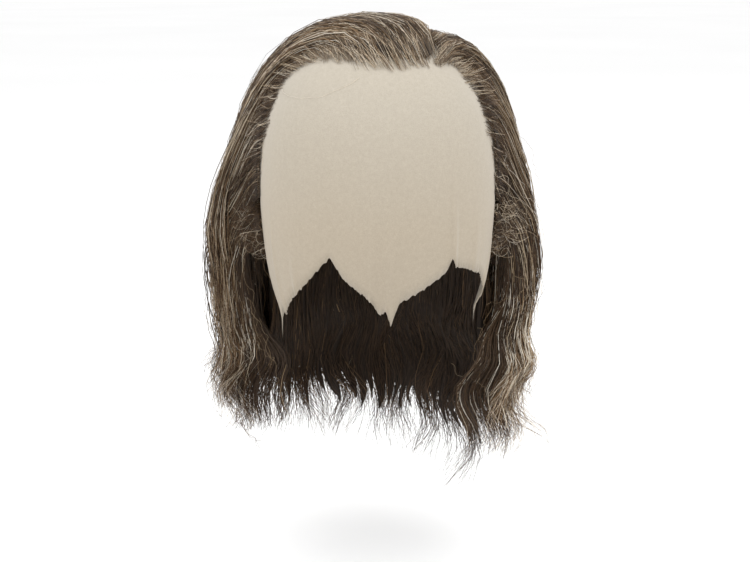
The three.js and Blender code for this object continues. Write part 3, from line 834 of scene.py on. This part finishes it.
hairRight = {
    "body": {"grid": (121, 33), "depth": 0.56, "upTo": 0.72, "tooth": 0.06},
    "locks": 13,
    "sweepLocks": 4,
    "crests": (-136, -140, -154, -137, -162, -146, -166, -160),
    "guides": np.array([
        (67, 95, 118, 93, -208, 0.99, 2, 0.92, 0.03, 60, 12, 3),
        (61, 67, 108, 98, -215, 1.01, 2.5, 0.93, 0.07, 70, 16, 4),
        (62, 51, 98, 105, -222, 1.03, 2.5, 0.9, 0.1, 60, 18, 4.5),
        (55, 38, 90, 114, -227, 1.04, 3, 0.86, 0.15, 34, 20, 6),
        (34.5, 38.5, 86, 126, -230, 1.04, 3, 1.04, 0.26, 12, 12, 1.5),
        (81, 21, 85, 150, -233, 1.06, 4, 1.04, 0.04, 8, 10, 0),
        (148, 22.7, 84, 179.6, -234, 1.06, 5, 0.9, 0, 6, 10, 0),
    ]),
    "sweep": np.array([
        (57, 42, 94, 99, -205, 1.0, 2.5, 0.76, 0.12, 24, 14, 6),
        (50, 39.5, 91, 103, -211, 1.02, 2.5, 0.78, 0.2, 22, 20, 6),
        (36, 39.5, 88, 110, -218, 1.03, 4, 0.9, 0.3, 14, 12, 2),
        (52, 31, 87, 117, -222, 1.04, 5, 0.9, 0.14, 8, 10, 0),
    ]),
    # painted shade and light: strands rooted at the temple are painted far darker, the outermost much
    # lighter
    "style": {**longStyle, "count": 1500, "clumps": 70, "frontShadeTone": 0.15, "outerLightTone": 1.55, "tone": 0.95},
    # painted light: the ends are painted lighter than the left's, and the outermost lighter still, for the
    # light on the low right side
    "ends": {
        **hemStyle, "count": 1140, "from": 0.42, "wave": 5, "tipCurl": 16, "clumps": 40, "tipAim": -0.15,
        "tone": 1.6, "outerLightTone": 1.35, "frontShadeTone": 1, "white": 0.24,
    },
}
fieldRight = hairField(outerHair, hairRight["guides"], hairRight["locks"], hairRight["crests"])
sweepRight = hairField(sweepHair, hairRight["sweep"], hairRight["sweepLocks"], hairRight["crests"][:2])
hairMass("hair_right_mass", fieldRight, hairRight["body"], massLook, "hair", "hair_right")
addLayers("hair_right", {
    "strands": (fieldRight, hairRight["style"], 23),
    "sweep": (sweepRight, {**sweepStyle, "count": 520, "white": 0.17, "tone": 0.85}, 33),
    "ends": (fieldRight, hairRight["ends"], 29),
    "wisps": (fieldRight, wispStyle, 30),
    "fine": (fieldRight, {**fineStyle, "count": 350, "white": 0.36}, 27),
    # painted light: this lining is painted lighter than the left's, for the light on the low right side
    "lining": (fieldRight, {**liningStyle, "tone": 1.2, "white": 0.04}, 31),
})

# Hair from the end of the part, which falls over the meeting of the two sides at the back

crownHair = {
    "locks": 4,
    "guides": np.array([
        (-160, 18, 84, 202, -232, 1.06, 5, 1, 0, 8, 8, 0),
        (172, 18, 84, 188, -233, 1.06, 6, 1, 0, 8, 8, 0),
        (140, 20, 84, 175, -234, 1.06, 6, 1, 0, 8, 8, 0),
        (112, 26, 84, 164, -234, 1.06, 5, 0.95, 0, 8, 8, 0),
    ]),
    "style": {**sweepStyle, "count": 260, "rings": 13, "clumps": 14, "upTo": 0.8},
}
fieldCrown = hairField(outerHair, crownHair["guides"], crownHair["locks"], hairLeft["crests"][-2:])
addStrands("hair_crown", combStrands(fieldCrown, crownHair["style"], 35))

# Under layer at the nape

hairNape = {
    "body": {"grid": (217, 25), "depth": 0.7, "upTo": 0.84, "tooth": 0.09},
    "overCap": [(0, 1.9), (0.5, 1.9), (1, 2.4)],
    "spread": (1, 1.01),
    "sway": (1, -2, 2.5),
    "below": 60,
    "halfWidth": 75,
    "back": 101,
    "waves": 7,
    "depth": np.array([(-150, 10), (-60, 8), (20, 3)]),
    "frontRun": 0.001,
    "frontDepth": 1,
    "swing": 5,
    "swingFrom": (70, 150),
    "swingLength": 66,
    "crests": (-150, -160, -142, -166, -150, -160, -146),
    "side": 106,
    "inset": 9,
    "shoulder": 97,
    "locks": 27,
    "hem": -244,
    "dip": -16,
    "slant": (-6, 42),
    "plain": (0.99, 2, 1, 0, 6, 12, 0),  # the guides' columns from flare to sprout
    # painted shade: the under layer's strands and its lining are painted darker than the outer hair
    "style": {
        **longStyle, "count": 1000, "rings": 14, "frontShare": 0, "outerShare": 0.5, "upTo": 1, "dive": 0,
        "clumps": 27, "wave": 4.5, "waveFrom": 20, "white": 0.08, "tipCurl": 14, "tone": 0.66, "spacing": 1,
        "clumpRagged": 0.16, "ragged": 0.2, "pull": 0.94, "waveLength": (55, 85), "sprout": 0, "frontShadeTone": 1,
        "radius": 0.31,
    },
    "lining": {
        **liningStyle, "count": 350, "from": 0.1, "rings": 11, "frontShare": 0, "tone": 0.5, "wave": 5,
        "white": 0.03, "inward": 0,
    },
}


def napeGuides(count=13):
    # even falls round the back, rooted a little above the cap's edge; the hem dips by a sine and slants
    fall = np.linspace(hairNape["side"], 360 - hairNape["side"], count)
    polar = np.interp(np.where(fall > 180, 360 - fall, fall), *capShape["edge"].T) - hairNape["inset"]
    hem = hairNape["hem"] + hairNape["dip"] * np.sin(np.pi * np.linspace(0, 1, count))
    hem = hem + np.linspace(*hairNape["slant"], count)
    shoulder = np.full(count, float(hairNape["shoulder"]))
    plain = np.tile(hairNape["plain"], (count, 1))
    return np.concatenate([np.stack([fall, polar, shoulder, fall, hem], 1), plain], 1)


fieldNape = hairField(hairNape, napeGuides(), hairNape["locks"], hairNape["crests"])
hairMass("hair_nape_mass", fieldNape, hairNape["body"], deepLook, "under_hair", "hair_nape")
addLayers("hair_nape", {
    "strands": (fieldNape, hairNape["style"], 37),
    "lining": (fieldNape, hairNape["lining"], 39),
}, "under_hair")

# Sideburns: curly tufts on the lace's lower corners

sideburn = {
    "front": 71,
    "rear": 88,
    "top": 99,
    "foot": 124,
    "swell": 20,
    "edge": 1.2,
    "droop": 11,
    "curls": 5,
    "massShare": 0.2,
    "count": 310,
    "rings": 14,
    "radius": 0.15,
    "coil": (2.4, 5.2),
    "turns": (0.7, 1.4),
    "sides": {"left": (-1, 0.12, 41), "right": (1, 0.18, 43)},  # sign of x, share of pale hairs, seed
}


def tuftPlace(sign, turn, out):  # direction at a turn and a radius about the middle of an oval patch
    across = 0.5 + 0.5 * sign * np.cos(turn) * out
    down = 0.5 - 0.5 * np.sin(turn) * out
    polar = mix(sideburn["top"], sideburn["foot"], down)
    return direction(polar, sign * mix(sideburn["front"], sideburn["rear"], across))


def tuftMass(sign):
    # a patch on the lace with an uneven rim, which swells and droops by a share of the full tuft
    turn = np.linspace(0, 2 * np.pi, 48, endpoint=False)[:, None]
    out = np.linspace(0, 1, 14)[None]
    rim = 0.72 + 0.08 * np.sin(3 * turn + 1) + 0.05 * np.sin(7 * turn + 2)
    d = tuftPlace(sign, turn, out * rim)
    base = onHollow(d, 1.9)
    swell = np.sqrt(1 - out**2)
    curl = np.cos(sideburn["curls"] * turn) * np.sin(np.pi * out)
    reach = sideburn["edge"] + sideburn["massShare"] * sideburn["swell"] * swell * (1 + 0.2 * curl)
    droop = sideburn["massShare"] * sideburn["droop"] * swell + 0 * turn
    return base + outFrom(d) * reach[..., None] - [0, 0, 1] * droop[..., None], base


def curlyStrands(sign, paleShare, seed):
    # coils: a line from the lace outwards and down, and a circle about a turned axis that opens to the tip
    rng = np.random.default_rng(seed)
    count, rings = sideburn["count"], sideburn["rings"]
    turn, out = rng.random(count) * 2 * np.pi, np.sqrt(rng.random(count)) * 1.1
    d = tuftPlace(sign, turn, out)
    up = outFrom(d)
    swell = np.sqrt(np.maximum(1 - out**2, 0))
    s = np.linspace(0, 1, rings)[None, :, None]
    reach = ((4 + 1.15 * sideburn["swell"] * swell) * (0.25 + 0.75 * rng.random(count)))[:, None, None]
    drop = (sideburn["droop"] * (0.3 + swell) * (0.1 + 0.3 * rng.random(count)))[:, None, None]
    line = onHollow(d, 1.0)[:, None] + up[:, None] * reach * s**0.7 - np.array([0, 0, 1]) * drop * s**1.5
    line = line + rng.normal(0, 2.6, (count, 1, 3)) * s
    axis = unit(0.5 * up + rng.normal(0, 0.8, (count, 3)))
    first = unit(np.cross(axis, rng.normal(0, 1, (count, 3))))[:, None]
    second = np.cross(axis[:, None], first)
    coil = rng.uniform(*sideburn["coil"], count)[:, None, None] * ease(s, 0, 0.45)
    turns = rng.uniform(*sideburn["turns"], count) * np.where(rng.random(count) < 0.5, -1, 1)
    angle = turns[:, None, None] * 2 * np.pi * s
    centres = line + coil * (np.cos(angle) * first + np.sin(angle) * second)
    radii = sideburn["radius"] * (0.7 + 0.6 * rng.random(count))[:, None] * mix(1, 0.4, s[..., 0])
    pale = rng.random(count) < paleShare
    tones = np.where(pale, 0.78 + 0.2 * rng.random(count), 0.46 * rng.beta(1.6, 2.2, count))
    return centres, radii, tones, np.full(count, greying["plainStart"])


for label, (sign, paleShare, seed) in sideburn["sides"].items():
    node = f"sideburn_{label}"
    tuft = addPiece(f"{node}_mass", *wall(*tuftMass(sign), True), tuftLook, "curly_hair", node)
    print(tuft.name, len(tuft.data.polygons), "faces")
    addStrands(f"{node}_curls", curlyStrands(sign, paleShare, seed), "curly_hair")

# Fine hairs along the hairline

hairline = {
    "rings": 6,
    "upTo": 0.69,
    "teeth": 84,
    "ahead": 3.5,
    "behind": 5,
    "temple": (0.08, 0.2, 0.42, 0.55),  # along the root line, where single hairs stand further ahead
    "templeAhead": 7,
    "corner": (0.3, 0.44, 0.48, 0.6),  # where the whole line is moved ahead by its side's own amount
    "fan": 9,
    "shortest": 10,
    "longest": 28,
    # at the sides and at the front
    "radius": (0.23, 0.15),
    "white": (0.12, 0.64),
}


def hairlineStrands(field, corner, count, seed):
    # short hairs from about the root line: they leave it between square and along the flow, then bend,
    # lift and draw together in small teeth
    rng = np.random.default_rng(seed)
    w = hairline["upTo"] * rng.random(count)
    inner, outward, side = readField(field, w, np.zeros(count))[:3]
    along = unit(readField(field, w, np.full(count, 0.03))[0] - inner)
    back = rootBack(field, w)
    tooth = (np.floor(w * hairline["teeth"]) + 0.5) / hairline["teeth"]
    together = readField(field, tooth, np.zeros(count))[0] - inner
    turn = np.radians(rng.normal(0, hairline["fan"], count))[:, None]
    temple = between(w, *hairline["temple"])
    aim = unit(mix(back, along, rng.uniform(0.4, 0.9, (count, 1)) + 0.6 * temple[:, None]))
    aim = np.cos(turn) * aim + np.sin(turn) * np.cross(outward, aim)
    ahead = hairline["ahead"] * rng.random(hairline["teeth"])[(w * hairline["teeth"]).astype(int)]
    ahead = ahead + hairline["templeAhead"] * temple * rng.random(count) ** 2
    ahead = ahead + corner * between(w, *hairline["corner"])
    root = inner + back * (hairline["behind"] * rng.random(count) - ahead)[:, None]
    length = mix(hairline["shortest"], hairline["longest"], rng.random(count) ** 1.6)[:, None, None]
    s = np.linspace(0, 1, hairline["rings"])[None, :, None]
    stray = rng.normal(0, 0.12, count)[:, None, None] * length * s**2
    bent = mix(aim[:, None], along[:, None], 0.85 * s)
    centres = root[:, None] + bent * length * s + side[:, None] * stray
    centres = centres + 0.8 * together[:, None] * ease(s, 0.1, 1)
    up = (1.2 + 0.16 * length * s + 0.35 * rng.random(count)[:, None, None] * length * s**2)[..., 0]
    centres = clearOfHollow(centres, up)
    front = ease(w, 0.3, 0.5)
    thick = mix(*hairline["radius"], front) * (0.7 + 0.6 * rng.random(count))
    radii = thick[:, None] * mix(0.4, 1, ease(s, 0, 0.4))[..., 0] * mix(1, 0.35, s[..., 0])
    pale = rng.random(count) < mix(*hairline["white"], front)
    paleTones = 0.76 + 0.2 * rng.random(count)
    tones = np.where(pale, paleTones, mix(0.04, 0.22, front) + 0.36 * rng.random(count))
    return centres, radii, tones, rootStarts(inner, rng)


addStrands("hairline_left", hairlineStrands(fieldLeft, 0, 690, 51))
addStrands("hairline_right", hairlineStrands(fieldRight, 5, 600, 53))

# Single long hairs that have come loose: some lie on the lace, some stand off from the sides

loose = {
    "rings": 24,
    "radius": (0.12, 0.1, 0.24),  # on the lace, free, and the dark tips of locks
    "darkTone": 0.4,
    # azimuth and polar angle of the start, the pull and the end
    "onLace": np.array([
        [(-58, 50), (-28.5, 59.3), (-9, 45)],
        [(-67, 66), (-58, 74), (-62, 84)],
        [(64, 62), (57, 72), (63, 82)],
    ]),
    "laceTones": (0.97, 0.9, 0.92),
    # millimetres of the start, the pull and the end
    "free": np.array([
        [(-118, 14, -108), (-164, 0, -157), (-99, 12, -191)],
        [(-108, 8, -165), (-100, 4, -186), (-84, 8, -203)],
        [(-106, 10, -166), (-102, 7, -184), (-88, 10, -200)],
        [(-109, 6, -162), (-98, 5, -188), (-86, 6, -201)],
        [(-95, -4, -46), (-92, -2, -78), (-83, 0, -116)],
        [(-85, -8, -32), (-80, -6, -62), (-71, -2, -84)],
        [(-90, 2, -96), (-70, 0, -130), (-74, 6, -156)],
        [(-92, 0, -88), (-80, -4, -118), (-86, 4, -150)],
        [(-114, 8, -128), (-98, -2, -128), (-82, 2, -114)],
        [(-88, 0, -120), (-76, -2, -126), (-74, 4, -142)],
        [(78, -46, 20), (94, -38, 6), (107, -12, -24)],
        [(76, -50, 12), (88, -42, 0), (102, -22, -26)],
        [(100, 12, 26), (116, 10, -4), (113, 12, -30)],
        [(54, 20, -144), (74, 2, -152), (92, 2, -166)],
        [(74, 8, -138), (84, 0, -122), (104, 0, -118)],
        [(70, 8, -110), (84, 2, -126), (66, 8, -146)],
        [(80, 2, -92), (68, 0, -122), (72, 6, -150)],
        [(96, -4, -66), (108, -6, -84), (92, -2, -98)],
        [(78, 2, -94), (90, -4, -82), (100, 0, -90)],
    ]),
    "freeTones": (
        0.5, 0.3, 0.2, 0.35, 0.75, 0.74, 0.74, 0.7, 0.68, 0.72,
        0.95, 0.9, 0.6, 0.76, 0.76, 0.7, 0.68, 0.74, 0.72,
    ),
}


def bow(table, stray):  # quadratic curve from the start to the end, drawn towards the pull, and a slow waver
    s = np.linspace(0, 1, loose["rings"])[None, :, None]
    turn = 8 * s + 5 * np.arange(len(table))[:, None, None] + 2 * np.arange(table.shape[-1])
    curve = (1 - s) ** 2 * table[:, :1] + 2 * s * (1 - s) * table[:, 1:2] + s**2 * table[:, 2:]
    return curve + stray * waver(turn, 4)


angles = bow(loose["onLace"], 0.8)
onLace = onHollow(direction(angles[..., 1], angles[..., 0]), np.full(angles.shape[:2], 1.6))
looseLines = np.concatenate([onLace, bow(loose["free"], 4)])
looseTones = np.array(loose["laceTones"] + loose["freeTones"])
looseRadii = np.repeat(loose["radius"][:2], (len(onLace), len(loose["free"])))
looseRadii = np.where(looseTones < loose["darkTone"], loose["radius"][2], looseRadii)
looseRadii = looseRadii[:, None] * np.linspace(1, 0.6, loose["rings"])
looseStarts = np.full(len(looseTones), greying["plainStart"])
addStrands("loose_hairs", (looseLines, looseRadii, looseTones, looseStarts))

# Floor, light and camera

stage = {
    "floor": -0.395,
    "reach": 30,
    "sky": 1.02,
    # place, aim, size and power
    "lamps": {
        "key": ((0.9, -0.8, 1.2), (0, 0, -0.12), 1.6, 14),
        "top": ((-0.2, 0.0, 1.6), (0, 0, -0.1), 2.0, 14),
        "fill": ((-1.3, -0.7, 0.3), (0, 0, -0.15), 1.4, 5),
    },
    "elevation": 14,
    "distance": 0.85,
    "target": (-0.00175, 0, -0.17),
    "lens": 58.1,
    "sensor": 36,
}


def floorMaterial():  # near white, with a faint drift of two greys
    material, shader, node, link = nodeMaterial("pale floor", Roughness=0.8, Specular_IOR_Level=0.1)
    place = node("ShaderNodeTexCoord").outputs["Object"]
    drift = node("ShaderNodeTexNoise", place, Scale=0.7, Detail=2.0).outputs["Fac"]
    pale = ramp(node, drift, [(0.3, (0.955, 0.955, 0.955)), (0.7, (0.98, 0.98, 0.98))])
    link(pale, shader.inputs["Base Color"])
    return material


floorMesh = bpy.data.meshes.new("floor")
far, low = stage["reach"], stage["floor"]
floorCorners = [(-far, -far, low), (far, -far, low), (far, far, low), (-far, far, low)]
floorMesh.from_pydata(floorCorners, [], [(0, 1, 2, 3)])
floorMesh.materials.append(floorMaterial())
floor = bpy.data.objects.new("floor", floorMesh)
bpy.context.scene.collection.objects.link(floor)

world = bpy.data.worlds.new("studio")
bpy.context.scene.world = world
world.use_nodes = True
sky = world.node_tree.nodes["Background"].inputs
sky["Color"].default_value = (1, 1, 1, 1)
sky["Strength"].default_value = stage["sky"]


def softLight(name, place, aim, size, power):  # square lamp at a place, turned to face its aim
    lamp = bpy.data.lights.new(name, "AREA")
    lamp.size = size
    lamp.energy = power
    holder = bpy.data.objects.new(name, lamp)
    holder.location = place
    away = np.array(place) - np.array(aim)
    flat = np.hypot(away[0], away[1])
    holder.rotation_euler = (np.arctan2(flat, away[2]), 0, np.arctan2(away[1], away[0]) + np.pi / 2)
    bpy.context.scene.collection.objects.link(holder)


for name, values in stage["lamps"].items():
    softLight(name, *values)

bpy.context.scene.view_settings.view_transform = "Standard"
cameraData = bpy.data.cameras.new("camera")
cameraData.lens = stage["lens"]
cameraData.sensor_width = stage["sensor"]
camera = bpy.data.objects.new("camera", cameraData)
rise = np.radians(stage["elevation"])
camera.location = np.array(stage["target"]) + stage["distance"] * np.array([0, -np.cos(rise), np.sin(rise)])
camera.rotation_euler = (np.pi / 2 - rise, 0, 0)
bpy.context.scene.collection.objects.link(camera)
bpy.context.scene.camera = camera
print("stage", len(stage["lamps"]), "lamps, camera at", [round(v, 3) for v in camera.location])
